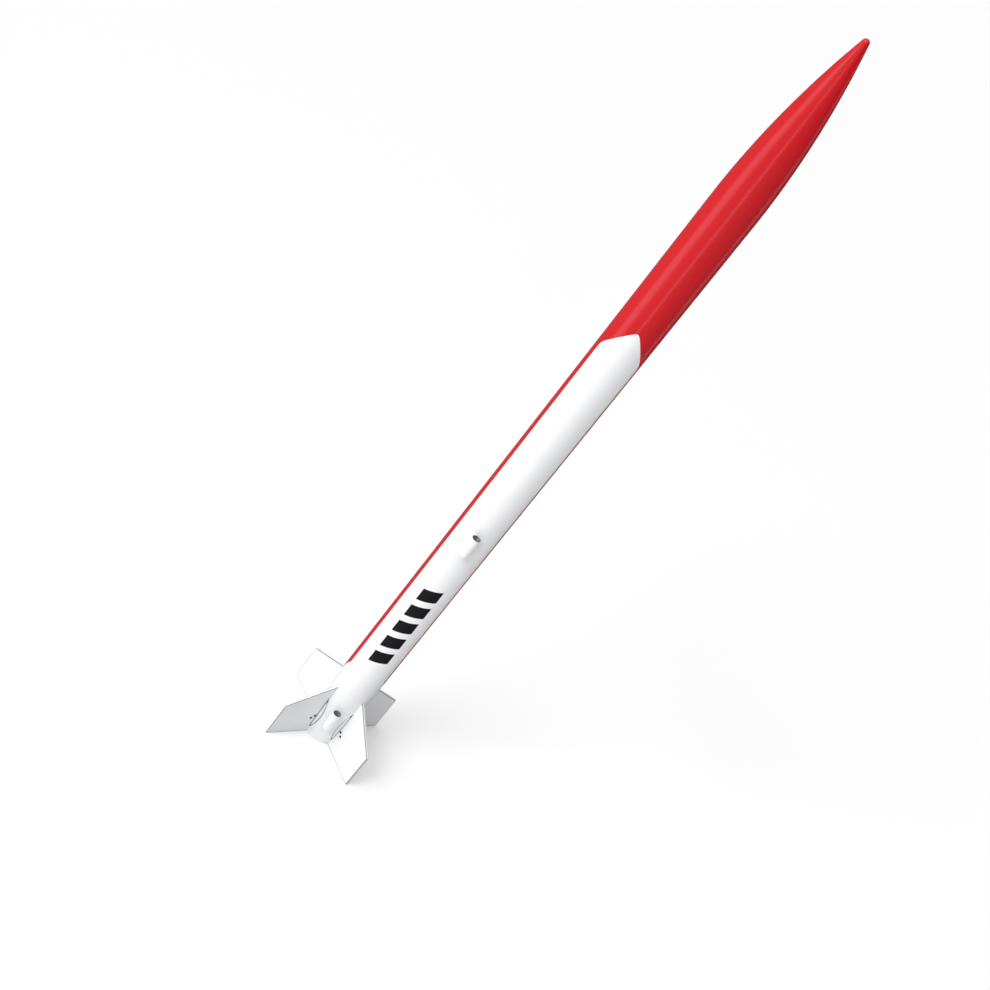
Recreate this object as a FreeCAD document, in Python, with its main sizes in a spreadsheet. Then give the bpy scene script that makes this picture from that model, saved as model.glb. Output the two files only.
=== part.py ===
import FreeCAD, Part
import math
import os
import Sketcher

# Four-finned model rocket with a 29 mm motor. Millimetres, +Z towards the nose.
# The origin is the centre of the plane of the fins' rear edges, and the launch lugs face -Y.

doc = FreeCAD.newDocument("model_rocket")
sheet = doc.addObject("Spreadsheet::Sheet", "Sizes")

sizes = {
    # airframe
    "tube_od": 48.3,
    "tube_wall": 0.9,
    "tail_length": 60.0,
    "tail_rim_radius": 21.7,
    "tail_wall": 1.6,
    "tail_shoulder": 26.0,
    "aft_tube_length": 370.0,
    "forward_tube_length": 354.0,
    "coupler_length": 80.0,
    "coupler_wall": 1.2,
    "glue_gap": 0.05,
    "running_gap": 0.08,
    # nose
    "ogive_length": 200.0,
    "tip_radius": 3.6,
    "nose_wall": 2.2,
    "tip_solid_length": 12.0,
    "nose_shoulder": 40.0,
    "nose_base_thickness": 3.0,
    "loop_radius": 5.5,
    "loop_wire": 1.3,
    # fins
    "fin_turn": 45.0,
    "fin_reach": 52.85,
    "fin_tip_front": 49.3,
    "fin_root_front": 81.1,
    "fin_thickness": 3.0,
    "fin_edge_radius": 0.45,
    "tab_rear": 28.0,
    "tab_front": 80.0,
    "slot_gap": 0.1,
    "shoe_half_width": 6.0,
    "shoe_rear": 6.0,
    "shoe_height": 1.1,
    "shoe_sink": 0.7,
    "shoe_gap": 0.8,
    "shoe_groove": 0.9,
    "rivet_radius": 0.9,
    "rivet_head_radius": 1.6,
    "rivet_head_top_radius": 1.1,
    "rivet_head_height": 0.8,
    "rivet_clearance": 2.2,
    "rivet_height": 28.5,
    "rivet_step_out": 3.4,
    "rivet_step_down": 3.6,
    # launch lugs
    "lug_od": 10.8,
    "lug_wall": 0.6,
    "lug_length": 25.4,
    "lug_foot_width": 3.0,
    "forward_lug_rear": 332.6,
    "aft_lug_rear": 33.0,
    # motor mount
    "motor_od": 29.0,
    "motor_length": 124.0,
    "motor_rear": 4.2,
    "mount_gap": 0.1,
    "mount_wall": 0.8,
    "mount_rear": 9.0,
    "mount_length": 186.0,
    "ring_thickness": 3.2,
    "aft_ring_rear": 23.0,
    "middle_ring_rear": 90.0,
    "forward_ring_rear": 184.0,
    "engine_block_length": 6.0,
    "engine_block_wall": 2.0,
    "retainer_wall": 2.0,
    "retainer_length": 14.0,
    "retainer_overhang": 1.0,
    "cap_wall": 1.7,
    "cap_rear": 2.0,
    "cap_length": 14.0,
    "cap_lip": 3.0,
    "cap_grips": 20,
    "grip_radius": 0.8,
    # motor
    "casing_wall": 1.4,
    "nozzle_length": 20.0,
    "nozzle_inlet_length": 6.5,
    "nozzle_throat_length": 3.5,
    "nozzle_throat_radius": 2.4,
    "nozzle_exit_radius": 7.0,
    "grain_length": 62.0,
    "grain_core_radius": 4.2,
    "delay_length": 16.0,
    "delay_radius": 6.0,
    "delay_bore_radius": 1.5,
    "charge_length": 5.0,
    "closure_length": 9.0,
    "closure_bore_radius": 7.5,
    "charge_cap_thickness": 1.2,
    # recovery bay
    "baffle_thickness": 3.0,
    "baffle_hole_radius": 2.6,
    "baffle_hole_circle": 14.0,
    "baffle_holes": 8,
    "eye_radius": 4.5,
    "eye_wire": 1.1,
    "eye_shank": 3.0,
    "wadding_height": 24.0,
    "wadding_bore_radius": 7.5,
    "parachute_length": 128.0,
    "parachute_radius": 20.0,
    "parachute_edge": 5.0,
    "soft_gap": 0.6,
}
for row, (alias, value) in enumerate(sizes.items(), 1):
    sheet.set("A%d" % row, alias)
    sheet.set("B%d" % row, str(value))
    sheet.setAlias("B%d" % row, alias)

# Sizes that follow from the driving ones, as formulas in the same sheet
derived = {
    "tube_radius": "=tube_od / 2",
    "bore_radius": "=tube_radius - tube_wall",
    "tube_joint": "=tail_length + aft_tube_length",
    "tube_top": "=tube_joint + forward_tube_length",
    "cone_slope": "=(tube_radius - tail_rim_radius) / tail_length",
    "tail_shoulder_radius": "=bore_radius - glue_gap",
    "ogive_radius": "=(tube_radius * tube_radius + ogive_length * ogive_length) / (2 * tube_radius)",
    "tip_centre": "=sqrt(pow(ogive_radius - tip_radius; 2) - pow(ogive_radius - tube_radius; 2))",
    "tip_blend_radius": "=tube_radius - ogive_radius"
                        " + ogive_radius * (ogive_radius - tube_radius) / (ogive_radius - tip_radius)",
    "tip_blend_height": "=tube_top + ogive_radius * tip_centre / (ogive_radius - tip_radius)",
    "hollow_radius": "=ogive_radius - nose_wall",
    "hollow_length": "=tip_centre + tip_radius - tip_solid_length",
    "hollow_end_radius": "=sqrt(hollow_radius * hollow_radius - hollow_length * hollow_length)"
                         " + tube_radius - ogive_radius",
    "nose_shoulder_radius": "=bore_radius - running_gap",
    "nose_bottom": "=tube_top - nose_shoulder",
    "nose_hollow_radius": "=tube_radius - nose_wall",
    "motor_radius": "=motor_od / 2",
    "mount_bore": "=motor_radius + mount_gap",
    "mount_radius": "=mount_bore + mount_wall",
    "mount_top": "=mount_rear + mount_length",
    "motor_top": "=motor_rear + motor_length",
    "retainer_radius": "=mount_radius + glue_gap + retainer_wall",
    "cap_bore": "=retainer_radius + running_gap",
    "cap_radius": "=cap_bore + cap_wall",
    "cap_mouth_radius": "=motor_radius - cap_lip",
    "ring_bore": "=mount_radius + glue_gap",
    "ring_radius": "=bore_radius - glue_gap",
    "coupler_radius": "=bore_radius - glue_gap",
    "coupler_bore": "=coupler_radius - coupler_wall",
    "coupler_top": "=tube_joint + coupler_length / 2",
    "shoe_length": "=tail_length - shoe_rear",
    "shoe_middle": "=(tail_length + shoe_rear) / 2",
    "shoe_arc": "=(pow(shoe_length / 2; 2) + pow(shoe_half_width; 2)) / (2 * shoe_half_width)",
    "fin_span": "=tube_radius + fin_reach",
    "rivet_radial": "=tail_rim_radius + cone_slope * rivet_height + shoe_height + rivet_clearance",
    "lug_radius": "=lug_od / 2",
    "lug_bore": "=lug_radius - lug_wall",
    "lug_offset": "=tube_radius + lug_radius",
    "baffle_top": "=coupler_top",
    "wadding_bottom": "=coupler_top + soft_gap",
    "wadding_top": "=wadding_bottom + wadding_height",
    "parachute_bottom": "=wadding_top + soft_gap",
    "parachute_top": "=parachute_bottom + parachute_length",
    "wadding_radius": "=bore_radius - soft_gap",
    "grain_rear": "=motor_rear + nozzle_length",
    "grain_front": "=grain_rear + grain_length",
    "closure_rear": "=motor_top - closure_length",
    "delay_front": "=grain_front + delay_length",
    "charge_front": "=delay_front + charge_length",
    "casing_bore": "=motor_radius - casing_wall",
}
first_row = len(sizes) + 1
for row, (alias, formula) in enumerate(derived.items(), first_row):
    sheet.set("A%d" % row, alias)
    sheet.set("B%d" % row, formula)
    sheet.setAlias("B%d" % row, alias)
doc.recompute()

names = sorted(list(sizes) + list(derived), key=len, reverse=True)


def on_sheet(text):
    """A formula in the sheet's aliases, written with the sheet's name for setExpression."""
    words = []
    word = ""
    for letter in text + " ":
        if letter.isalnum() or letter == "_":
            word += letter
        else:
            words.append("Sizes." + word if word in names else word)
            words.append(letter)
            word = ""
    return "".join(words).strip()


def value(text):
    return float(sheet.evalExpression(on_sheet(text)))


def plane(body, role):
    return [feature for feature in body.Origin.OriginFeatures if feature.Role == role][0]


def bulging_arc(start, end, radius, side):
    """The short arc between two points that bulges to the right of the way along, or left with side -1."""
    chord = end - start
    sideways = FreeCAD.Vector(chord.y, -chord.x, 0).normalize() * side
    centre = (start + end) * 0.5 - sideways * math.sqrt(radius * radius - chord.Length * chord.Length / 4)
    first, last = (start, end) if side > 0 else (end, start)
    circle = Part.Circle(centre, FreeCAD.Vector(0, 0, 1), radius)
    return Part.ArcOfCircle(circle, circle.parameter(first), circle.parameter(last))


def outline(sketch, points, arcs=None):
    """Closed outline through pairs of formulas. arcs gives a segment's radius and bulge side."""
    arcs = arcs or {}
    corners = [FreeCAD.Vector(value(across), value(up), 0) for across, up in points]
    count = len(points)
    for index in range(count):
        start = corners[index]
        end = corners[(index + 1) % count]
        if index in arcs:
            radius_formula, side = arcs[index]
            sketch.addGeometry(bulging_arc(start, end, value(radius_formula), side), False)
        else:
            sketch.addGeometry(Part.LineSegment(start, end), False)
    first_end = {}
    for index, curve in enumerate(sketch.Geometry):
        start = corners[index]
        first_end[index] = 1 if curve.StartPoint.distanceToPoint(start) < 1e-6 else 2
    for index in range(count):
        following = (index + 1) % count
        sketch.addConstraint(Sketcher.Constraint("Coincident", index, 3 - first_end[index],
                                                 following, first_end[following]))
    for index, (across, up) in enumerate(points):
        if across == "0":
            sketch.addConstraint(Sketcher.Constraint("PointOnObject", index, first_end[index], -2))
        else:
            number = sketch.addConstraint(Sketcher.Constraint("DistanceX", -1, 1, index, first_end[index],
                                                              value(across)))
            sketch.setExpression("Constraints[%d]" % number, on_sheet(across))
        if up == "0":
            sketch.addConstraint(Sketcher.Constraint("PointOnObject", index, first_end[index], -1))
        else:
            number = sketch.addConstraint(Sketcher.Constraint("DistanceY", -1, 1, index, first_end[index],
                                                              value(up)))
            sketch.setExpression("Constraints[%d]" % number, on_sheet(up))
    for index, (radius_formula, side) in arcs.items():
        number = sketch.addConstraint(Sketcher.Constraint("Radius", index, value(radius_formula)))
        sketch.setExpression("Constraints[%d]" % number, on_sheet(radius_formula))


def sketch_on(body, role, name):
    sketch = body.newObject("Sketcher::SketchObject", name)
    sketch.AttachmentSupport = [(plane(body, role), "")]
    sketch.MapMode = "FlatFace"
    return sketch


def turned(name, points, arcs=None):
    """A piece turned about Z from its half outline of (radius, height) formulas."""
    body = doc.addObject("PartDesign::Body", name)
    body.Label = name
    sketch = sketch_on(body, "XZ_Plane", name + "_outline")
    outline(sketch, points, arcs)
    turn = body.newObject("PartDesign::Revolution", name + "_turn")
    turn.Profile = sketch
    turn.ReferenceAxis = (sketch, ["V_Axis"])
    turn.Angle = 360
    body.Tip = turn
    doc.recompute()
    return body


def ring(name, inner, outer, bottom, top):
    return turned(name, [(inner, bottom), (outer, bottom), (outer, top), (inner, top)])


def around(body, feature, count):
    """Repeats a feature evenly about Z."""
    pattern = body.newObject("PartDesign::PolarPattern", feature.Name + "_pattern")
    pattern.Originals = [feature]
    pattern.Axis = (plane(body, "Z_Axis"), [""])
    pattern.Angle = 360
    pattern.setExpression("Occurrences", on_sheet(count))
    body.Tip = pattern
    doc.recompute()


def fin_slots(body, rear, front):
    """Four slots through the wall for the fins' tabs, the first on +X."""
    sketch = sketch_on(body, "YZ_Plane", body.Name + "_slot")
    half = "(fin_thickness / 2 + slot_gap)"
    outline(sketch, [("-" + half, rear), (half, rear), (half, front), ("-" + half, front)])
    pocket = body.newObject("PartDesign::Pocket", body.Name + "_slot_cut")
    pocket.Profile = sketch
    pocket.Type = "ThroughAll"
    pocket.Reversed = True
    body.Tip = pocket
    doc.recompute()
    around(body, pocket, "4")


def round_holes(body, name, circle, hole_radius, count):
    """Holes along Z, spaced evenly on a circle about the axis."""
    sketch = sketch_on(body, "XY_Plane", name + "_outline")
    sketch.addGeometry(Part.Circle(FreeCAD.Vector(value(circle), 0, 0), FreeCAD.Vector(0, 0, 1),
                                   value(hole_radius)), False)
    sketch.addConstraint(Sketcher.Constraint("PointOnObject", 0, 3, -1))
    distance = sketch.addConstraint(Sketcher.Constraint("DistanceX", -1, 1, 0, 3, value(circle)))
    sketch.setExpression("Constraints[%d]" % distance, on_sheet(circle))
    radius = sketch.addConstraint(Sketcher.Constraint("Radius", 0, value(hole_radius)))
    sketch.setExpression("Constraints[%d]" % radius, on_sheet(hole_radius))
    pocket = body.newObject("PartDesign::Pocket", name)
    pocket.Profile = sketch
    pocket.Type = "ThroughAll"
    pocket.Reversed = True
    body.Tip = pocket
    doc.recompute()
    around(body, pocket, count)


def bind(item, **formulas):
    for prop, formula in formulas.items():
        item.setExpression(prop.replace("_at_", ".Base."), on_sheet(formula))


def solid(kind, name, **formulas):
    item = doc.addObject("Part::" + kind, name)
    bind(item, **formulas)
    return item


def joined(kind, name, base, tool):
    item = doc.addObject("Part::" + kind, name)
    item.Base = base
    item.Tool = tool
    return item


def fused(name, shapes):
    item = doc.addObject("Part::MultiFuse", name)
    item.Shapes = shapes
    return item


def turn_about_z(item, formula):
    item.Placement = FreeCAD.Placement(FreeCAD.Vector(), FreeCAD.Rotation(FreeCAD.Vector(0, 0, 1), 1))
    item.setExpression("Placement.Rotation.Angle", on_sheet(formula))


across_x = FreeCAD.Rotation(FreeCAD.Vector(0, 1, 0), 90)
across_y = FreeCAD.Rotation(FreeCAD.Vector(1, 0, 0), -90)


# Airframe tubes

aft_tube = ring("aft_body_tube", "bore_radius", "tube_radius", "tail_length", "tube_joint")
fin_slots(aft_tube, "tail_length", "(tab_front + slot_gap)")
turn_about_z(aft_tube, "fin_turn")
forward_tube = ring("forward_body_tube", "bore_radius", "tube_radius", "tube_joint", "tube_top")
coupler = ring("tube_coupler", "coupler_bore", "coupler_radius", "tube_joint - coupler_length / 2",
               "coupler_top")


# Tail cone with the fins' slots and the sunk seats of their shoes

def lens(name, grow):
    """Upright lens outline of a fin shoe, run out along +X; grow widens it all round."""
    sides = []
    for side, sign in (("left", "-"), ("right", "")):
        disc = solid("Cylinder", name + "_" + side, Radius="shoe_arc + " + grow, Height="2 * tube_radius")
        disc.Placement = FreeCAD.Placement(FreeCAD.Vector(0, 0, 0), across_x)
        bind(disc, Placement_at_y=sign + "(shoe_arc - shoe_half_width)", Placement_at_z="shoe_middle")
        sides.append(disc)
    return joined("Common", name, sides[0], sides[1])


def cone_skin(name, outwards, inwards):
    """The space between two offsets of the tail cone's outer surface."""
    walls = []
    for side, offset in (("outer", outwards), ("inner", inwards)):
        walls.append(solid("Cone", name + "_" + side, Radius1="tail_rim_radius + " + offset,
                           Radius2="tube_radius + " + offset, Height="tail_length"))
    return joined("Cut", name, walls[0], walls[1])


tail_body = turned("tail_cone_shell", [
    ("tail_rim_radius - tail_wall", "0"),
    ("tail_rim_radius", "0"),
    ("tube_radius", "tail_length"),
    ("tail_shoulder_radius", "tail_length"),
    ("tail_shoulder_radius", "tail_length + tail_shoulder"),
    ("tail_shoulder_radius - tail_wall", "tail_length + tail_shoulder"),
    ("tail_shoulder_radius - tail_wall", "tail_length"),
])
fin_slots(tail_body, "(tab_rear - slot_gap)", "(tab_front + slot_gap)")
seats = []
for number in range(4):
    seat = joined("Common", "shoe_seat_%d" % (number + 1), lens("seat_lens_%d" % (number + 1), "shoe_gap"),
                  cone_skin("seat_skin_%d" % (number + 1), "shoe_height", "(0 - shoe_sink - glue_gap)"))
    turn_about_z(seat, "%d" % (90 * number))
    seats.append(seat)
tail_cone = joined("Cut", "tail_cone", tail_body, fused("shoe_seats", seats))
turn_about_z(tail_cone, "fin_turn")


# Fins: a flat blade whose tab reaches the motor mount, and a shoe that beds into the tail cone

def rounded(name, item, radius, wanted):
    """Rounds the edges that wanted picks."""
    doc.recompute()
    fillet = doc.addObject("Part::Fillet", name)
    fillet.Base = item
    size = value(radius)
    fillet.Edges = [(index, size, size) for index, edge in enumerate(item.Shape.Edges, 1) if wanted(edge)]
    return fillet


def outer_long_edge(edge):
    """True for the blade's edges along its leading, tip and rear sides."""
    ends = [vertex.Point for vertex in edge.Vertexes]
    along_blade = abs(ends[0].y - ends[-1].y) < 1e-6
    outside = min(point.x for point in ends) > value("tail_rim_radius") - 1e-6
    at_root = max(point.x for point in ends) < value("tube_radius") + 1e-6
    return along_blade and outside and not at_root


def rivet_places():
    return [("rivet_radial", "rivet_height"),
            ("rivet_radial + rivet_step_out", "rivet_height - rivet_step_down")]


def across_fin(kind, name, radial, height, start, **formulas):
    """A cylinder or cone that stands across the blade, along +Y from start."""
    item = solid(kind, name, **formulas)
    item.Placement = FreeCAD.Placement(FreeCAD.Vector(0, 0, 0), across_y)
    bind(item, Placement_at_x=radial, Placement_at_y=start, Placement_at_z=height)
    return item


def fin(number):
    label = "fin_%d" % number
    sketch = doc.addObject("Sketcher::SketchObject", label + "_outline")
    sketch.Placement = FreeCAD.Placement(FreeCAD.Vector(), FreeCAD.Rotation(FreeCAD.Vector(1, 0, 0), 90))
    outline(sketch, [
        ("tail_rim_radius", "0"),
        ("fin_span", "0"),
        ("fin_span", "fin_tip_front"),
        ("tube_radius", "fin_root_front"),
        ("tube_radius", "tab_front"),
        ("mount_radius + glue_gap", "tab_front"),
        ("mount_radius + glue_gap", "tab_rear"),
        ("tail_rim_radius + cone_slope * tab_rear", "tab_rear"),
    ])
    blade = doc.addObject("Part::Extrusion", label + "_blade")
    blade.Base = sketch
    blade.DirMode = "Normal"
    blade.Solid = True
    blade.Symmetric = True
    bind(blade, LengthFwd="fin_thickness")
    rounded_blade = rounded(label + "_rounded", blade, "fin_edge_radius", outer_long_edge)
    shoe = joined("Common", label + "_shoe", lens(label + "_lens", "0"),
                  cone_skin(label + "_skin", "shoe_height", "(0 - shoe_sink)"))
    cuts = []
    for side, edge in (("left", "fin_thickness / 2"), ("right", "(0 - fin_thickness / 2 - shoe_groove)")):
        groove = solid("Box", "%s_%s_groove" % (label, side), Length="2 * tube_radius", Width="shoe_groove",
                       Height="tail_length")
        bind(groove, Placement_at_y=edge)
        skin = cone_skin("%s_%s_groove_skin" % (label, side), "shoe_height", "0")
        cuts.append(joined("Common", "%s_%s_groove_cut" % (label, side), groove, skin))
    for place, (radial, height) in enumerate(rivet_places(), 1):
        cuts.append(across_fin("Cylinder", "%s_rivet_hole_%d" % (label, place), radial, height,
                               "(0 - fin_thickness)", Radius="rivet_radius + glue_gap",
                               Height="2 * fin_thickness"))
    grooves = fused(label + "_cuts", cuts)
    shoe_piece = fused(label + "_piece", [rounded_blade, shoe])
    piece = joined("Cut", label, shoe_piece, grooves)
    turn_about_z(piece, "fin_turn + %d" % (90 * (number - 1)))
    return piece


fins = [fin(number) for number in (1, 2, 3, 4)]

rivets = []
for number in range(4):
    for place, (radial, height) in enumerate(rivet_places(), 1):
        stem = "rivet_%d_%d" % (number + 1, place)
        pin = across_fin("Cylinder", stem + "_pin", radial, height, "(0 - fin_thickness / 2)",
                         Radius="rivet_radius", Height="fin_thickness")
        front = across_fin("Cone", stem + "_front", radial, height, "fin_thickness / 2",
                           Radius1="rivet_head_radius", Radius2="rivet_head_top_radius",
                           Height="rivet_head_height")
        back = across_fin("Cone", stem + "_back", radial, height,
                          "(0 - fin_thickness / 2 - rivet_head_height)",
                          Radius1="rivet_head_top_radius", Radius2="rivet_head_radius",
                          Height="rivet_head_height")
        rivet = fused(stem, [pin, front, back])
        turn_about_z(rivet, "fin_turn + %d" % (90 * number))
        rivets.append(rivet)
fin_rivets = doc.addObject("Part::Compound", "fin_rivets")
fin_rivets.Links = rivets


# Launch lugs: thin tubes on a narrow foot that is shaped to the body

def launch_lug(label, rear):
    barrel = solid("Cylinder", label + "_barrel", Radius="lug_radius", Height="lug_length")
    bore = solid("Cylinder", label + "_bore", Radius="lug_bore", Height="lug_length")
    for item in (barrel, bore):
        bind(item, Placement_at_y="-lug_offset", Placement_at_z=rear)
    foot = solid("Box", label + "_foot", Length="lug_foot_width", Width="lug_offset - tail_rim_radius",
                 Height="lug_length")
    bind(foot, Placement_at_x="-lug_foot_width / 2", Placement_at_y="-lug_offset", Placement_at_z=rear)
    cone = solid("Cone", label + "_cone_seat", Radius1="tail_rim_radius", Radius2="tube_radius",
                 Height="tail_length")
    tube = solid("Cylinder", label + "_tube_seat", Radius="tube_radius", Height="aft_tube_length")
    bind(tube, Placement_at_z="tail_length")
    outside = fused(label + "_outside", [barrel, foot])
    inside = fused(label + "_inside", [bore, cone, tube])
    return joined("Cut", label, outside, inside)


aft_lug = launch_lug("aft_launch_lug", "aft_lug_rear")
forward_lug = launch_lug("forward_launch_lug", "forward_lug_rear")


# Motor mount

mount_tube = ring("motor_mount_tube", "mount_bore", "mount_radius", "mount_rear", "mount_top")
cone_bore = "(tail_rim_radius - tail_wall + (tail_shoulder_radius - tail_rim_radius) * %s / tail_length)"
aft_ring_front = "(aft_ring_rear + ring_thickness)"
aft_ring = turned("aft_centering_ring", [
    ("ring_bore", "aft_ring_rear"),
    (cone_bore % "aft_ring_rear" + " - glue_gap", "aft_ring_rear"),
    (cone_bore % aft_ring_front + " - glue_gap", aft_ring_front),
    ("ring_bore", aft_ring_front),
])
middle_ring = ring("middle_centering_ring", "ring_bore", "ring_radius", "middle_ring_rear",
                   "middle_ring_rear + ring_thickness")
forward_ring = ring("forward_centering_ring", "ring_bore", "ring_radius", "forward_ring_rear",
                    "forward_ring_rear + ring_thickness")
engine_block = ring("engine_block", "mount_bore - glue_gap - engine_block_wall", "mount_bore - glue_gap",
                    "motor_top", "motor_top + engine_block_length")
retainer_body = ring("retainer_body", "mount_radius + glue_gap", "retainer_radius",
                     "mount_rear - retainer_overhang", "mount_rear + retainer_length")


# Screw cap: an end wall with the exhaust mouth, a sleeve over the retainer body, and finger grips

retainer_cap = turned("retainer_cap", [
    ("cap_mouth_radius", "cap_rear"),
    ("cap_radius", "cap_rear"),
    ("cap_radius", "cap_rear + cap_length"),
    ("cap_bore", "cap_rear + cap_length"),
    ("cap_bore", "motor_rear"),
    ("cap_mouth_radius", "motor_rear"),
])
round_holes(retainer_cap, "grips", "cap_radius", "grip_radius", "cap_grips")


# Motor

casing = turned("motor_casing", [
    ("casing_bore", "motor_rear"),
    ("motor_radius", "motor_rear"),
    ("motor_radius", "motor_top"),
    ("closure_bore_radius", "motor_top"),
    ("closure_bore_radius", "closure_rear"),
    ("casing_bore", "closure_rear"),
])
nozzle_outside = "casing_bore - glue_gap"
nozzle = turned("motor_nozzle", [
    ("nozzle_exit_radius", "motor_rear"),
    (nozzle_outside, "motor_rear"),
    (nozzle_outside, "grain_rear - glue_gap"),
    ("nozzle_exit_radius", "grain_rear - glue_gap"),
    ("nozzle_throat_radius", "grain_rear - nozzle_inlet_length"),
    ("nozzle_throat_radius", "grain_rear - nozzle_inlet_length - nozzle_throat_length"),
])
grain = ring("propellant_grain", "grain_core_radius", "casing_bore - glue_gap", "grain_rear", "grain_front")
delay = ring("delay_element", "delay_bore_radius", "delay_radius", "grain_front + glue_gap", "delay_front")
charge = ring("ejection_charge", "delay_bore_radius", "delay_radius", "delay_front + glue_gap",
              "charge_front")
charge_cap = turned("ejection_cap", [
    ("0", "motor_top - charge_cap_thickness"),
    ("closure_bore_radius - glue_gap", "motor_top - charge_cap_thickness"),
    ("closure_bore_radius - glue_gap", "motor_top"),
    ("0", "motor_top"),
])


# Nose cone: hollow ogive with a rounded tip and a shoulder, closed by the nose base

nose_cone = turned("nose_cone", [
    ("nose_shoulder_radius", "nose_bottom"),
    ("nose_shoulder_radius", "tube_top"),
    ("tube_radius", "tube_top"),
    ("tip_blend_radius", "tip_blend_height"),
    ("0", "tube_top + tip_centre + tip_radius"),
    ("0", "tube_top + hollow_length"),
    ("hollow_end_radius", "tube_top + hollow_length"),
    ("nose_hollow_radius", "tube_top"),
    ("nose_shoulder_radius - nose_wall", "tube_top"),
    ("nose_shoulder_radius - nose_wall", "nose_bottom"),
], arcs={2: ("ogive_radius", 1), 3: ("tip_radius", 1), 6: ("hollow_radius", -1)})

base_plate = turned("nose_base_plate", [
    ("0", "nose_bottom"),
    ("nose_shoulder_radius - nose_wall - glue_gap", "nose_bottom"),
    ("nose_shoulder_radius - nose_wall - glue_gap", "nose_bottom + nose_base_thickness"),
    ("0", "nose_bottom + nose_base_thickness"),
])


def upright_eye(name, radius, wire, height):
    """A ring of round wire that stands in the XZ plane, centred on the axis."""
    eye = solid("Torus", name, Radius1=radius, Radius2=wire)
    eye.Placement = FreeCAD.Placement(FreeCAD.Vector(0, 0, 0), across_y)
    bind(eye, Placement_at_z=height)
    return eye


base_loop = upright_eye("nose_base_loop", "loop_radius", "loop_wire", "nose_bottom - loop_radius + loop_wire")
nose_base = fused("nose_base", [base_plate, base_loop])


# Recovery bay: baffle and screw eye in the coupler, wadding, and the packed parachute

baffle = turned("ejection_baffle", [
    ("0", "baffle_top - baffle_thickness"),
    ("coupler_bore - glue_gap", "baffle_top - baffle_thickness"),
    ("coupler_bore - glue_gap", "baffle_top"),
    ("0", "baffle_top"),
])
round_holes(baffle, "vents", "baffle_hole_circle", "baffle_hole_radius", "baffle_holes")

eye_ring = upright_eye("eye_ring", "eye_radius", "eye_wire", "baffle_top + eye_shank + eye_radius")
eye_shank = solid("Cylinder", "eye_stem", Radius="eye_wire", Height="eye_shank + eye_wire")
bind(eye_shank, Placement_at_z="baffle_top")
baffle_eye = fused("baffle_eye", [eye_ring, eye_shank])

wadding = ring("wadding", "wadding_bore_radius", "wadding_radius", "wadding_bottom", "wadding_top")
parachute = turned("parachute", [
    ("0", "parachute_bottom"),
    ("parachute_radius - parachute_edge", "parachute_bottom"),
    ("parachute_radius", "parachute_bottom + parachute_edge"),
    ("parachute_radius", "parachute_top - parachute_edge"),
    ("parachute_radius - parachute_edge", "parachute_top"),
    ("0", "parachute_top"),
], arcs={1: ("parachute_edge", 1), 3: ("parachute_edge", 1)})

doc.recompute()

sub_parts = [
    tail_cone, aft_tube, forward_tube, coupler, baffle, baffle_eye,
    mount_tube, aft_ring, middle_ring, forward_ring, engine_block, retainer_body, retainer_cap,
    casing, nozzle, grain, delay, charge, charge_cap,
    *fins, fin_rivets, aft_lug, forward_lug,
    nose_cone, nose_base, wadding, parachute,
]
for item in doc.Objects:
    if "Invalid" in item.State or "Error" in item.State:
        raise RuntimeError("%s failed: %s" % (item.Name, item.State))
for item in sub_parts:
    if item.Shape.isNull() or not item.Shape.isValid() or not item.Shape.Solids:
        raise RuntimeError("%s has no valid solid" % item.Label)

os.makedirs("parts", exist_ok=True)
for item in sub_parts:
    item.Shape.exportStep("parts/%s.step" % item.Label)
    print("%-24s %2d solid(s) %9.1f mm3" % (item.Label, len(item.Shape.Solids), item.Shape.Volume))
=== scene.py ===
import math

import bmesh
import bpy
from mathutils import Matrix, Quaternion, Vector, noise


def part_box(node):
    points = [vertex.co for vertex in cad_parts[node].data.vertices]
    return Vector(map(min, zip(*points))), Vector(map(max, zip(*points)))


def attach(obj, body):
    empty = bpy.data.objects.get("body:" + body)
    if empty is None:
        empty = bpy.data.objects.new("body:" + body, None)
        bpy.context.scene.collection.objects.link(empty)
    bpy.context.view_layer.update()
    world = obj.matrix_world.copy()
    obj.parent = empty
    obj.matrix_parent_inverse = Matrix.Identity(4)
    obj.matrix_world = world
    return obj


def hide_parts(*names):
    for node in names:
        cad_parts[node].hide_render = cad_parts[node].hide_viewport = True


# Model rocket on a pale studio floor. Metres, in the frame's own coordinates:
# +Z to the nose, the launch lugs on -Y, the fins' rear edges on the floor.

mm = 0.001
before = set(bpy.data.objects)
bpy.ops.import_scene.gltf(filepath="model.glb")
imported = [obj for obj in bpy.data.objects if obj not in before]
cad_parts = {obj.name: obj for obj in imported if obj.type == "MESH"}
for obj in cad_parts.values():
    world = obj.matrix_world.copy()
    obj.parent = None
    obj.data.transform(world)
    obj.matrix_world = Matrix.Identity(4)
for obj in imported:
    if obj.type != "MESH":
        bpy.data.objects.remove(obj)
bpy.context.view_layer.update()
print("frame loaded")


# Shader maths

# A shader socket that adds Math nodes when it is used in an expression
class Wire:
    def __init__(self, tree, socket):
        self.tree = tree
        self.socket = socket

    def math(self, operation, *others):
        return mathNode(self.tree, operation, self, *others)

    def __add__(self, other):
        return self.math("ADD", other)

    def __radd__(self, other):
        return mathNode(self.tree, "ADD", other, self)

    def __sub__(self, other):
        return self.math("SUBTRACT", other)

    def __rsub__(self, other):
        return mathNode(self.tree, "SUBTRACT", other, self)

    def __mul__(self, other):
        return self.math("MULTIPLY", other)

    def __rmul__(self, other):
        return mathNode(self.tree, "MULTIPLY", other, self)

    def __truediv__(self, other):
        return self.math("DIVIDE", other)


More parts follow.
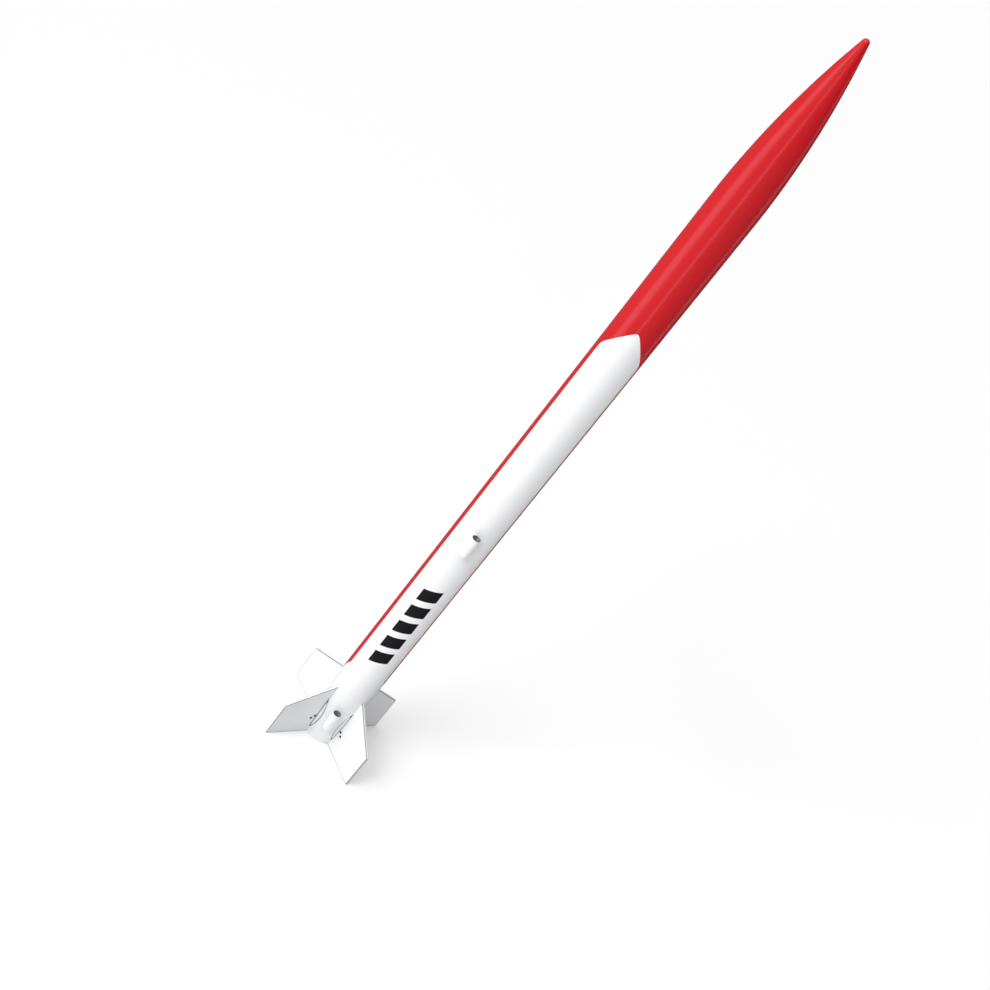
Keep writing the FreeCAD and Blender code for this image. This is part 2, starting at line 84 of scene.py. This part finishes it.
def plug(tree, socket, value):
    if isinstance(value, Wire):
        tree.links.new(value.socket, socket)
    else:
        socket.default_value = value


def mathNode(tree, operation, *values):
    node = tree.nodes.new("ShaderNodeMath")
    node.operation = operation
    for number, value in enumerate(values):
        plug(tree, node.inputs[number], value)
    return Wire(tree, node.outputs[0])


# A material, with one method for every node that is not plain maths
class Finish:
    def __init__(self, name):
        self.material = bpy.data.materials.new(name)
        self.material.use_nodes = True
        self.tree = self.material.node_tree
        self.surface = self.tree.nodes["Principled BSDF"]

    def node(self, kind, settings=None, sockets=None, output=0):
        node = self.tree.nodes.new("ShaderNode" + kind)
        for name, value in (settings or {}).items():
            if name == "stops":
                setStops(node.color_ramp, value)
            else:
                setattr(node, name, value)
        for name, value in (sockets or {}).items():
            plug(self.tree, node.inputs[name], value)
        return Wire(self.tree, node.outputs[output])

    def position(self):
        return self.node("TexCoord", output="Object")

    def split(self, vector):
        return [self.node("SeparateXYZ", None, {"Vector": vector}, axis) for axis in "XYZ"]

    def stretch(self, vector, scale):
        return self.node("Mapping", None, {"Vector": vector, "Scale": scale})

    def noise(self, vector, scale, detail=2.0, roughness=0.5):
        return self.node("TexNoise", None, {"Vector": vector, "Scale": scale, "Detail": detail,
                                            "Roughness": roughness}, "Fac")

    def ramp(self, value, stops):
        return self.node("ValToRGB", {"stops": stops}, {"Fac": value})

    def blend(self, factor, first, second):
        return self.node("Mix", {"data_type": "RGBA"}, {"Factor": factor, 6: first, 7: second}, 2)

    # 0 below the edge and 1 above it, softened over width
    def step(self, value, edge, width):
        return self.node("MapRange", {"interpolation_type": "SMOOTHSTEP"},
                         {"Value": value, "From Min": edge - width / 2, "From Max": edge + width / 2})

    def bump(self, height, strength, distance):
        return self.node("Bump", None, {"Height": height, "Strength": strength, "Distance": distance})

    def set(self, **values):
        for name, value in values.items():
            plug(self.tree, self.surface.inputs[name.replace("_", " ")], value)
        return self.material


def setStops(ramp, stops):
    while len(ramp.elements) < len(stops):
        ramp.elements.new(0.5)
    for element, (place, colour) in zip(ramp.elements, stops):
        element.position = place
        element.color = colour if len(colour) == 4 else (*colour, 1.0)


# Paint scheme of the airframe

paintScheme = {
    "white": (0.86, 0.865, 0.875, 1.0),
    "red": (0.60, 0.008, 0.014, 1.0),
    "black": (0.010, 0.010, 0.012, 1.0),
    "shadow": (0.12, 0.12, 0.13, 1.0),
    "paintedEdgeShade": (0.17, 0.17, 0.18, 1.0),
    "panelHalfAngle": 64.0,
    "panelPeak": 647.5 * mm,
    "peakSlope": 1.414,
    "peakSoftness": 2.7 * mm,
    "shoulderSoftness": 5.0 * mm,
    "stripeEnd": 117.0 * mm,
    "stripeSlope": 1.9,
    "edgeWidth": 0.25 * mm,
    "markLow": 146.0 * mm,
    "markHigh": 268.0 * mm,
    "markHalfWidth": 10.2 * mm,
    "markBars": 5,
    "markFill": 0.66,
    "markSlant": 0.45,
    "wall": 0.45 * mm,
    "wallFade": 0.1 * mm,
    "bareRoughness": 0.7,
    "seamOverlap": 0.3 * mm,
    "shoulderRoughness": 0.15,
    "redCoats": 0.6,
    "blackCoats": 0.4,
}
gloss = {
    "roughness": 0.20,
    "patches": 0.06,
    "patchScale": 130.0,
    "peelScale": 700.0,
    "peel": 0.10,
    "rippleScale": 40.0,
    "ripple": 0.6,
    "coats": 0.4,
    "relief": 0.10 * mm,
    "reliefStrength": 0.3,
    "stretch": (1.0, 1.0, 0.3),
}
moulded = {
    "darkWhite": (0.83, 0.835, 0.85),
    "lightWhite": (0.87, 0.875, 0.885),
    "flowScale": 60.0,
    "relief": 0.05 * mm,
    "reliefStrength": 0.25,
}
tailCone = {
    "rimStep": 2.45 * mm,
    "grooveDepth": 0.12 * mm,
    "grooveFade": 0.1 * mm,
    "toneScale": 30.0,
    "roughness": 0.20,
    "flowRoughness": 0.08,
    "grooveRoughness": 0.4,
}
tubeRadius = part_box("aft_body_tube")[1].x
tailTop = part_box("aft_body_tube")[0].z
tailRimRadius = tubeRadius - tailCone["rimStep"]
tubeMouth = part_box("forward_body_tube")[1].z


# How far a spot is from the rocket's axis
def fromAxis(x, y):
    return (x * x + y * y).math("SQRT")


# The radius of the tail cone's plain surface at a height
def tailSurface(z):
    return z * ((tubeRadius - tailRimRadius) / tailTop) + tailRimRadius


# Fine orange peel and slow ripples of sprayed paint
def paintRelief(finish, place):
    peel = finish.noise(place, gloss["peelScale"], 1.0)
    ripple = finish.noise(finish.stretch(place, gloss["stretch"]), gloss["rippleScale"], 1.0)
    return peel * gloss["peel"] + ripple * gloss["ripple"]


def paintRoughness(finish, place):
    return finish.noise(place, gloss["patchScale"], 2.0) * gloss["patches"] + gloss["roughness"]


def mouldedWhite(finish, place, scale):
    tone = finish.noise(place, scale, 2.0)
    return finish.ramp(tone, [(0.3, moulded["darkWhite"]), (0.7, moulded["lightWhite"])])


def mouldingFlow(finish, place):
    return finish.noise(finish.stretch(place, gloss["stretch"]), moulded["flowScale"], 2.0)


# The paint's colour, and a mask that is higher where there are more coats
def redWhiteBlack(finish, place):
    look = paintScheme
    x, y, z = finish.split(place)
    sideways, forwards = x.math("ABSOLUTE"), y.math("ABSOLUTE")
    arc = sideways.math("ARCTAN2", forwards) * tubeRadius
    halfPanel = math.radians(look["panelHalfAngle"]) * tubeRadius
    softArc = (arc * arc + look["peakSoftness"] ** 2).math("SQRT")
    slant = math.sqrt(1 + look["peakSlope"] ** 2)
    aboveRoof = (z - look["panelPeak"] + softArc * look["peakSlope"]) / slant
    pastSide = arc - halfPanel
    outside = aboveRoof.math("SMOOTH_MAX", pastSide, look["shoulderSoftness"])
    aboveStripeEnd = z - look["stripeEnd"] + pastSide * look["stripeSlope"]
    redMask = finish.step(outside.math("MINIMUM", aboveStripeEnd), 0.0, look["edgeWidth"])
    # plain black bars along the front panel
    signedArc = x.math("ARCTAN2", 0 - y) * tubeRadius
    spacing = (look["markHigh"] - look["markLow"]) / (look["markBars"] - (1 - look["markFill"]))
    along = (z - look["markLow"] - signedArc * look["markSlant"]) / spacing
    inBar = (look["markFill"] - along.math("FRACT")) * spacing
    inRow = along.math("MINIMUM", look["markBars"] - along) * spacing
    inWidth = look["markHalfWidth"] - signedArc.math("ABSOLUTE")
    bars = inBar.math("MINIMUM", inRow).math("MINIMUM", inWidth)
    barMask = finish.step(bars, 0.0, look["edgeWidth"])
    colour = finish.blend(redMask, look["white"], look["red"])
    coats = redMask * look["redCoats"] + barMask * look["blackCoats"]
    return finish.blend(barMask, colour, look["black"]), coats


# Gloss paint outside, and bare brown paper inside the wall
def tubePaint():
    look = paintScheme
    finish = Finish("tubePaint")
    place = finish.position()
    x, y = finish.split(place)[:2]
    colour, coats = redWhiteBlack(finish, place)
    painted = finish.step(fromAxis(x, y) - (tubeRadius - look["wall"]), 0.0, look["wallFade"])
    fibres = finish.noise(finish.stretch(place, kraft["stretch"]), kraft["innerScale"], 3.0)
    bare = finish.ramp(fibres, [(0.3, kraft["dark"]), (0.7, kraft["light"])])
    height = paintRelief(finish, place) + coats * gloss["coats"]
    return finish.set(
        Base_Color=finish.blend(painted, bare, colour),
        Roughness=painted * paintRoughness(finish, place) + (1 - painted) * look["bareRoughness"],
        Normal=finish.bump(height, gloss["reliefStrength"], gloss["relief"]),
        Specular_IOR_Level=0.5,
    )


# White gloss, with painted shade in the gaps round the fins' shoes
def tailPlastic():
    finish = Finish("tailPlastic")
    place = finish.position()
    x, y, z = finish.split(place)
    depth = tailSurface(z) - fromAxis(x, y)
    # painted shade: the sunk groove floor takes the shadow grey
    sunk = finish.step(depth, tailCone["grooveDepth"], tailCone["grooveFade"])
    white = mouldedWhite(finish, place, tailCone["toneScale"])
    flow = mouldingFlow(finish, place)
    roughness = flow * tailCone["flowRoughness"] + tailCone["roughness"]
    return finish.set(
        Base_Color=finish.blend(sunk, white, paintScheme["shadow"]),
        Roughness=roughness + sunk * tailCone["grooveRoughness"],
        Normal=finish.bump(flow, moulded["reliefStrength"], moulded["relief"]),
        Specular_IOR_Level=0.5,
    )


finOutline = {
    "span": 77.0 * mm,
    "tipFront": 49.3 * mm,
    "rootFront": 81.1 * mm,
    "line": 0.7 * mm,
    "lineFade": 0.2 * mm,
    "faceEdge": 0.95 * mm,
    "grooveInner": 1.46 * mm,
    "grooveOuter": 2.43 * mm,
    "grooveSide": 0.05 * mm,
    "grooveFade": 0.1 * mm,
    "grooveTop": 0.9 * mm,
    "grooveStart": 9.0 * mm,
    "endFade": 1.0 * mm,
    "toneScale": 25.0,
    "grainScale": 1400.0,
    "grain": 0.3,
    "roughness": 0.26,
    "flowRoughness": 0.10,
}


# Moulded white, with painted shade in the grooves between each blade and its shoe
def finPlastic():
    look, fin = paintScheme, finOutline
    finish = Finish("finPlastic")
    place = finish.position()
    x, y, z = finish.split(place)
    sideways, forwards = x.math("ABSOLUTE"), y.math("ABSOLUTE")
    offBlade = (sideways - forwards).math("ABSOLUTE") * math.sqrt(0.5)
    beside = (finish.step(offBlade, fin["grooveInner"], fin["grooveSide"])
              * (1 - finish.step(offBlade, fin["grooveOuter"], fin["grooveFade"])))
    low = 1 - finish.step(fromAxis(x, y) - tailSurface(z), fin["grooveTop"], fin["grooveFade"])
    inLength = (finish.step(z, fin["grooveStart"], fin["endFade"])
                * (1 - finish.step(z, tailTop, fin["endFade"])))
    # painted shade in the grooves beside each blade, in the shadow grey
    groove = beside * low * inLength
    # a fine grey line of painted shade where the rounded edges run out
    outwards = (sideways + forwards) * math.sqrt(0.5)
    slope = (fin["rootFront"] - fin["tipFront"]) / (fin["span"] - tubeRadius)
    toFront = (fin["rootFront"] - z - (outwards - tubeRadius) * slope) / math.hypot(1, slope)
    inside = (fin["span"] - outwards).math("MINIMUM", z).math("MINIMUM", toFront)
    atEdge = 1 - finish.step(inside, fin["line"], fin["lineFade"])
    thin = atEdge * finish.step(offBlade, fin["faceEdge"], fin["grooveFade"])
    white = finish.blend(thin, mouldedWhite(finish, place, fin["toneScale"]), look["paintedEdgeShade"])
    grain = finish.noise(place, fin["grainScale"], 1.0)
    flow = mouldingFlow(finish, place)
    return finish.set(
        Base_Color=finish.blend(groove, white, look["shadow"]),
        Roughness=flow * fin["flowRoughness"] + fin["roughness"],
        Normal=finish.bump(grain * fin["grain"] + flow, moulded["reliefStrength"], moulded["relief"]),
        Specular_IOR_Level=0.5,
    )


lug = {
    "radius": 5.4 * mm,
    "boreEdge": 4.95 * mm,
    "boreFade": 0.1 * mm,
    "darkBoreShade": (0.17, 0.17, 0.18),
    "lightBoreShade": (0.42, 0.42, 0.43),
    "mottleScale": 300.0,
    "mottleStretch": (1.0, 1.0, 0.1),
    "roughness": 0.22,
    "mottleRoughness": 0.1,
    "relief": 0.05 * mm,
    "reliefStrength": 0.2,
}


# White tube with painted shade in its bore, in a mottled grey
def lugPlastic():
    finish = Finish("lugPlastic")
    place = finish.position()
    x, y = finish.split(place)[:2]
    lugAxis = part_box("forward_launch_lug")[0].y + lug["radius"]
    outside = finish.step(fromAxis(x, y - lugAxis), lug["boreEdge"], lug["boreFade"])
    lugMottle = finish.noise(finish.stretch(place, lug["mottleStretch"]), lug["mottleScale"], 3.0)
    # painted shade inside the bore: a mottled grey in place of the shade there
    grey = finish.ramp(lugMottle, [(0.3, lug["darkBoreShade"]), (0.75, lug["lightBoreShade"])])
    return finish.set(
        Base_Color=finish.blend(outside, grey, paintScheme["white"]),
        Roughness=lugMottle * lug["mottleRoughness"] + lug["roughness"],
        Normal=finish.bump(lugMottle, lug["reliefStrength"], lug["relief"]),
        Specular_IOR_Level=0.5,
    )


# A finish mottled between two tones, for the small and inner pieces
def plainFinish(name, dark, light, scale, roughness, metallic=0.0, bump=0.1):
    finish = Finish(name)
    mottle = finish.noise(finish.position(), scale, 4.0, 0.6)
    return finish.set(
        Base_Color=finish.ramp(mottle, [(0.3, dark), (0.7, light)]),
        Roughness=mottle * 0.15 + roughness,
        Normal=finish.bump(mottle, 0.4, bump * mm),
        Metallic=metallic,
    )


kraft = {
    "dark": (0.34, 0.21, 0.11),
    "light": (0.46, 0.31, 0.18),
    "seam": (0.20, 0.12, 0.06, 1.0),
    "seamWidth": 0.35 * mm,
    "seamFade": 0.3 * mm,
    "seamStrength": 0.6,
    "couplerPitch": 62.0 * mm,
    "mountPitch": 48.0 * mm,
    "fibreScale": 420.0,
    "innerScale": 500.0,
    "stretch": (1.0, 1.0, 0.25),
    "roughness": 0.55,
    "fibreRoughness": 0.2,
    "fibreRelief": 0.3,
    "relief": 0.12 * mm,
    "reliefStrength": 0.5,
}


# Brown paper wound in a helix, with a fine line where its turns meet
def spiralKraft(name, pitch):
    finish = Finish(name)
    place = finish.position()
    x, y, z = finish.split(place)
    turns = z / pitch - y.math("ARCTAN2", x) / (2 * math.pi)
    toSeam = turns.math("PINGPONG", 0.5) * pitch
    seam = 1 - finish.step(toSeam, kraft["seamWidth"], kraft["seamFade"])
    fibres = finish.noise(finish.stretch(place, kraft["stretch"]), kraft["fibreScale"], 4.0)
    brown = finish.ramp(fibres, [(0.3, kraft["dark"]), (0.7, kraft["light"])])
    return finish.set(
        Base_Color=finish.blend(seam * kraft["seamStrength"], brown, kraft["seam"]),
        Roughness=fibres * kraft["fibreRoughness"] + kraft["roughness"],
        Normal=finish.bump(fibres * kraft["fibreRelief"] - seam, kraft["reliefStrength"], kraft["relief"]),
    )


# Red gloss above the tube's mouth, bare white plastic on the shoulder
def nosePaint():
    finish = Finish("nosePaint")
    place = finish.position()
    z = finish.split(place)[2]
    above = finish.step(z, tubeMouth - paintScheme["seamOverlap"], paintScheme["wallFade"])
    return finish.set(
        Base_Color=finish.blend(above, paintScheme["white"], paintScheme["red"]),
        Roughness=paintRoughness(finish, place) + (1 - above) * paintScheme["shoulderRoughness"],
        Normal=finish.bump(paintRelief(finish, place), gloss["reliefStrength"], gloss["relief"]),
        Specular_IOR_Level=0.5,
    )


def dress(material, *nodes):
    for node in nodes:
        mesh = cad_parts[node].data
        mesh.materials.clear()
        mesh.materials.append(material)


board = plainFinish("fibreBoard", (0.30, 0.19, 0.10), (0.45, 0.31, 0.18), 500.0, 0.7)
blackNylon = plainFinish("blackNylon", (0.012, 0.012, 0.013), (0.03, 0.03, 0.032), 900.0, 0.42)
darkSteel = plainFinish("darkSteel", (0.02, 0.02, 0.022), (0.06, 0.06, 0.065), 600.0, 0.35, 0.6)
wire = plainFinish("zincWire", (0.45, 0.45, 0.47), (0.62, 0.62, 0.64), 400.0, 0.25, 1.0)
phenolic = plainFinish("phenolic", (0.015, 0.014, 0.013), (0.04, 0.036, 0.032), 350.0, 0.38)
graphite = plainFinish("graphite", (0.03, 0.03, 0.03), (0.07, 0.07, 0.07), 700.0, 0.5)
propellant = plainFinish("propellant", (0.16, 0.15, 0.13), (0.26, 0.25, 0.22), 500.0, 0.8)
powder = plainFinish("blackPowder", (0.01, 0.01, 0.01), (0.05, 0.05, 0.05), 2500.0, 0.9, bump=0.5)
whitePlastic = plainFinish("whitePlastic", (0.80, 0.80, 0.80), (0.85, 0.85, 0.85), 60.0, 0.32)
redCap = plainFinish("redCap", (0.50, 0.02, 0.02), (0.62, 0.04, 0.03), 300.0, 0.35)
tissue = plainFinish("waddingTissue", (0.62, 0.56, 0.42), (0.76, 0.71, 0.58), 300.0, 0.9)

dress(tubePaint(), "aft_body_tube", "forward_body_tube")
dress(nosePaint(), "nose_cone")
dress(whitePlastic, "nose_base")
dress(tailPlastic(), "tail_cone")
dress(finPlastic(), "fin_1", "fin_2", "fin_3", "fin_4")
dress(lugPlastic(), "aft_launch_lug", "forward_launch_lug")
dress(spiralKraft("couplerKraft", kraft["couplerPitch"]), "tube_coupler")
dress(spiralKraft("mountKraft", kraft["mountPitch"]), "motor_mount_tube")
dress(board, "ejection_baffle", "aft_centering_ring", "middle_centering_ring", "forward_centering_ring",
      "engine_block")
dress(wire, "baffle_eye")
dress(blackNylon, "retainer_body", "retainer_cap")
dress(darkSteel, "fin_rivets")
dress(phenolic, "motor_casing")
dress(graphite, "motor_nozzle")
dress(propellant, "propellant_grain", "delay_element")
dress(powder, "ejection_charge")
dress(redCap, "ejection_cap")
print("finishes made")


# Recovery bay: the canopy folded in four and rolled up, on a bed of crumpled tissue

# The object of a finished bmesh, in the place of the named CAD nodes
def newPiece(name, shape, body, slot, material, *nodes):
    mesh = bpy.data.meshes.new(name)
    shape.to_mesh(mesh)
    shape.free()
    mesh.materials.append(material)
    mesh.shade_smooth()
    piece = bpy.data.objects.new(name, mesh)
    bpy.context.scene.collection.objects.link(piece)
    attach(piece, body)
    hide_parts(*nodes)
    return piece


canopy = {
    "acrossCorners": 610.0 * mm,
    "acrossFlats": 528.0 * mm,
    "folds": 4,
    "layerGap": 0.52 * mm,
    "coreRadius": 2.0 * mm,
    "endRoom": 3.5 * mm,
    "foldRound": 1.6 * mm,
    "acrossSteps": 48,
    "alongSteps": 300,
    "thickness": 0.08 * mm,
    "hexagonShare": 0.75,
    "squeeze": 0.985,
    "slowBulge": 0.012,
    "fastBulge": 0.008,
    "slowRagged": 1.5 * mm,
    "fastRagged": 1.0 * mm,
    "ripstop": 4.0 * mm,
    "ribWidth": 0.05,
    "ribTone": 0.4,
    "weaveTurns": 9000.0,
    "creaseScale": 160.0,
    "creaseRelief": 6.0,
    "weaveRelief": 0.2,
    "relief": 0.10 * mm,
    "reliefStrength": 0.6,
    "roughness": 0.42,
    "creaseRoughness": 0.15,
    "sheen": 0.25,
    "sheenRoughness": 0.4,
    "orange": (0.70, 0.14, 0.010, 1.0),
    "darkOrange": (0.52, 0.08, 0.006, 1.0),
    "thread": (0.40, 0.06, 0.005, 1.0),
}


def canopyNylon():
    finish = Finish("canopyNylon")
    u, v = finish.split(finish.node("UVMap"))[:2]
    grid, weaveTurns = canopy["ripstop"], canopy["weaveTurns"]
    toLine = (u / grid).math("PINGPONG", 0.5).math("MINIMUM", (v / grid).math("PINGPONG", 0.5))
    rib = 1 - finish.step(toLine, canopy["ribWidth"], canopy["ribWidth"])
    weave = (u * weaveTurns).math("SINE") * (v * weaveTurns).math("SINE")
    stretched = finish.stretch(finish.position(), gloss["stretch"])
    crease = finish.noise(stretched, canopy["creaseScale"], 3.0)
    tone = finish.blend(crease, canopy["darkOrange"], canopy["orange"])
    height = weave * canopy["weaveRelief"] + rib + crease * canopy["creaseRelief"]
    return finish.set(
        Base_Color=finish.blend(rib * canopy["ribTone"], tone, canopy["thread"]),
        Roughness=crease * canopy["creaseRoughness"] + canopy["roughness"],
        Normal=finish.bump(height, canopy["reliefStrength"], canopy["relief"]),
        Sheen_Weight=canopy["sheen"],
        Sheen_Roughness=canopy["sheenRoughness"],
    )


# Where a point of the flat, folded strip lies in the roll
def rolledPlace(across, along, low, high):
    leg = high - low
    fold = round(across / leg)
    pastFold = across - fold * leg
    layer = math.floor(across / leg)
    upwards = layer % 2 == 0
    rest = across - layer * leg
    height = low + rest if upwards else high - rest
    if 0 < fold < canopy["folds"] and abs(pastFold) < canopy["foldRound"]:
        layer = fold - 0.5 + 0.5 * math.sin(math.pi / 2 * pastFold / canopy["foldRound"])
    elif layer == canopy["folds"]:
        layer = canopy["folds"] - 1
    pitch = canopy["folds"] * canopy["layerGap"]
    core = canopy["coreRadius"] + 1.5 * canopy["layerGap"]
    growth = pitch / (2 * math.pi)
    angle = (math.sqrt(core * core + 2 * growth * along) - core) / growth
    radius = canopy["coreRadius"] + growth * angle + canopy["layerGap"] * layer
    # soft bulges round the roll, and ends that are not quite even
    radius *= (canopy["squeeze"] + canopy["slowBulge"] * math.sin(3 * angle + height * 25)
               + canopy["fastBulge"] * math.sin(7 * angle - height * 60))
    middle = (low + high) / 2
    ragged = (canopy["slowRagged"] * math.sin(along * 31.0 + layer)
              + canopy["fastRagged"] * math.sin(along * 73.0 - layer * 2.0))
    height += ragged * (height - middle) / (high - middle)
    return Vector((radius * math.cos(angle), radius * math.sin(angle), height))


def rolledCanopy():
    low, high = (corner.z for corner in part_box("parachute"))
    low, high = low + canopy["endRoom"], high - canopy["endRoom"]
    width = canopy["folds"] * (high - low)
    area = canopy["hexagonShare"] * canopy["acrossCorners"] * canopy["acrossFlats"]
    length = area / width
    shape = bmesh.new()
    bmesh.ops.create_grid(shape, x_segments=canopy["acrossSteps"], y_segments=canopy["alongSteps"], size=0.5)
    flatMap = shape.loops.layers.uv.new("UVMap")
    for face in shape.faces:
        for loop in face.loops:
            spot = loop.vert.co
            loop[flatMap].uv = ((spot.x + 0.5) * width, (spot.y + 0.5) * length)
    for vertex in shape.verts:
        vertex.co = rolledPlace((vertex.co.x + 0.5) * width, (vertex.co.y + 0.5) * length, low, high)
    piece = newPiece("rolledCanopy", shape, "recovery", "nylon", canopyNylon(), "parachute")
    skin = piece.modifiers.new("cloth", "SOLIDIFY")
    skin.thickness = canopy["thickness"]
    skin.offset = 0


wad = {
    "innerRadius": 7.5 * mm,
    "edge": 3.0 * mm,
    "room": 0.4 * mm,
    "steps": 160,
    "cuts": 9,
    "seed": 11,
    "bigFold": 1.9 * mm,
    "smallFold": 0.7 * mm,
    "bigScale": 150.0,
    "smallScale": 420.0,
    "warpScale": 90.0,
    "warp": 4,
    "facetRise": 1.6,
}


# 0 on a crease and towards 1 inside a facet
def crumple(spot, scale):
    near, far = noise.voronoi(spot * scale)[0][:2]
    return min(1.0, (far - near) * wad["facetRise"])


def crumpledWadding():
    lowest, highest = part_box("wadding")
    low, high = lowest.z + wad["room"], highest.z - wad["room"]
    inner, outer = wad["innerRadius"] + wad["room"], highest.x - wad["room"]
    shape = bmesh.new()
    edge = wad["edge"]
    corners = [(inner + edge, low), (outer - edge, low), (outer, low + edge), (outer, high - edge),
               (outer - edge, high), (inner + edge, high), (inner, high - edge), (inner, low + edge)]
    ringVerts = [shape.verts.new((radius, 0, height)) for radius, height in corners]
    outlineEdges = [shape.edges.new((ringVerts[i - 1], ringVerts[i])) for i in range(len(ringVerts))]
    bmesh.ops.subdivide_edges(shape, edges=outlineEdges, cuts=wad["cuts"])
    bmesh.ops.spin(shape, geom=shape.verts[:] + shape.edges[:], cent=(0, 0, 0), axis=(0, 0, 1),
                   angle=2 * math.pi, steps=wad["steps"], use_merge=True)
    bmesh.ops.remove_doubles(shape, verts=shape.verts[:], dist=0.01 * mm)
    bmesh.ops.recalc_face_normals(shape, faces=shape.faces[:])
    shape.normal_update()
    noise.seed_set(wad["seed"])  # without it noise_vector follows the clock
    moves = []
    for vertex in shape.verts:
        spot = vertex.co.copy()
        warp = noise.noise_vector(spot * wad["warpScale"]) * wad["warp"] * mm
        depth = (wad["bigFold"] * (1 - crumple(spot + warp, wad["bigScale"]))
                 + wad["smallFold"] * (1 - crumple(spot + warp, wad["smallScale"])))
        moves.append((vertex, spot - vertex.normal * depth))
    for vertex, spot in moves:
        vertex.co = spot
    piece = newPiece("crumpledWadding", shape, "recovery", "tissue", tissue, "wadding")


crumpledWadding()
rolledCanopy()
print("recovery bay made")


# Studio: a wide pale floor, soft light from the left, and a dim right side

studio = {
    "floorSize": 40.0,
    "floorTone": (0.97, 0.97, 0.975, 1.0),
    "backdrop": (1.0, 1.0, 1.0, 1.0),
    "backdropPower": 1.0,
    "fillLeft": 0.60,
    "fillRight": 0.0,
    "lowFill": 0.35,
    # name, azimuth, height, power, angle
    "suns": [("key", -42.0, 40.0, 1.2, 25.0), ("top", 0.0, 90.0, 1.5, 90.0)],
    # name, azimuth, width, watts
    "strips": [("broadStrip", -62.0, 0.32, 1.15), ("thinStrip", 0.0, 0.025, 0.32),
               ("rimStrip", 108.0, 0.04, 0.25)],
    "stripDistance": 0.6,
    "stripLow": 0.05,
    "stripHigh": 1.1,
}


def studioFloor():
    mesh = bpy.data.meshes.new("floor")
    shape = bmesh.new()
    bmesh.ops.create_grid(shape, x_segments=1, y_segments=1, size=studio["floorSize"] / 2)
    shape.to_mesh(mesh)
    shape.free()
    floor = bpy.data.objects.new("floor", mesh)
    bpy.context.scene.collection.objects.link(floor)
    finish = Finish("studioFloor")
    finish.set(Base_Color=studio["floorTone"], Roughness=0.9, Specular_IOR_Level=0.1)
    mesh.materials.append(finish.material)
    floor.visible_glossy = False  # the gloss shows the studio's dim lower half, not the bright floor


def studioWorld():
    world = bpy.data.worlds.new("studio")
    bpy.context.scene.world = world
    world.use_nodes = True
    tree = world.node_tree
    background = tree.nodes["Background"]
    coordinates = tree.nodes.new("ShaderNodeTexCoord")
    split = tree.nodes.new("ShaderNodeSeparateXYZ")
    tree.links.new(coordinates.outputs["Generated"], split.inputs[0])
    across, upwards = Wire(tree, split.outputs[0]), Wire(tree, split.outputs[2])
    fill = across.math("MULTIPLY_ADD", (studio["fillRight"] - studio["fillLeft"]) / 2,
                       (studio["fillRight"] + studio["fillLeft"]) / 2)
    path = tree.nodes.new("ShaderNodeLightPath")
    seen = Wire(tree, path.outputs["Is Camera Ray"])
    fill = fill * (1 - upwards.math("LESS_THAN", 0.0) * (1 - studio["lowFill"]))
    plug(tree, background.inputs["Strength"], seen * studio["backdropPower"] + (1 - seen) * fill)
    background.inputs["Color"].default_value = studio["backdrop"]


# A soft distant light; azimuth is counted from -Y, positive towards +X
def sun(name, azimuth, height, power, angle):
    light = bpy.data.lights.new(name, "SUN")
    light.energy = power
    light.angle = math.radians(angle)
    lamp = bpy.data.objects.new(name, light)
    bpy.context.scene.collection.objects.link(lamp)
    turn = math.radians(azimuth)
    flat = math.cos(math.radians(height))
    source = Vector((math.sin(turn) * flat, -math.cos(turn) * flat, math.sin(math.radians(height))))
    lamp.rotation_mode = "QUATERNION"
    lamp.rotation_quaternion = source.to_track_quat("Z", "Y")


# An upright strip light that the camera doesn't see, for a highlight along the body
def strip(name, azimuth, width, watts):
    angle = math.radians(azimuth)
    distance, low, high = studio["stripDistance"], studio["stripLow"], studio["stripHigh"]
    light = bpy.data.lights.new(name, "AREA")
    light.shape = "RECTANGLE"
    light.size, light.size_y = width, high - low
    light.energy = watts
    lamp = bpy.data.objects.new(name, light)
    bpy.context.scene.collection.objects.link(lamp)
    lamp.location = (math.sin(angle) * distance, -math.cos(angle) * distance, (low + high) / 2)
    lamp.rotation_mode = "QUATERNION"
    facing = Vector((-math.sin(angle), math.cos(angle), 0))
    lamp.rotation_quaternion = facing.to_track_quat("-Z", "Y")
    lamp.visible_camera = False


studioFloor()
studioWorld()
for values in studio["suns"]:
    sun(*values)
for values in studio["strips"]:
    strip(*values)

viewpoint = {
    "place": (-187.9 * mm, -1397.2 * mm, 1293.7 * mm),
    "aim": (-9.1 * mm, 1.2 * mm, 394.2 * mm),
    "roll": 38.24,
    "lens": 59.89,
    "sensor": 36.0,
    "farthest": 100.0,
}


def studioCamera():
    lens = bpy.data.cameras.new("camera")
    lens.lens = viewpoint["lens"]
    lens.sensor_width = viewpoint["sensor"]
    lens.clip_end = viewpoint["farthest"]
    camera = bpy.data.objects.new("camera", lens)
    bpy.context.scene.collection.objects.link(camera)
    camera.location = viewpoint["place"]
    camera.rotation_mode = "QUATERNION"
    level = (Vector(viewpoint["aim"]) - camera.location).to_track_quat("-Z", "Y")
    camera.rotation_quaternion = level @ Quaternion((0, 0, 1), math.radians(viewpoint["roll"]))
    bpy.context.scene.camera = camera


studioCamera()
bpy.context.scene.view_settings.view_transform = "Standard"
print("studio made")
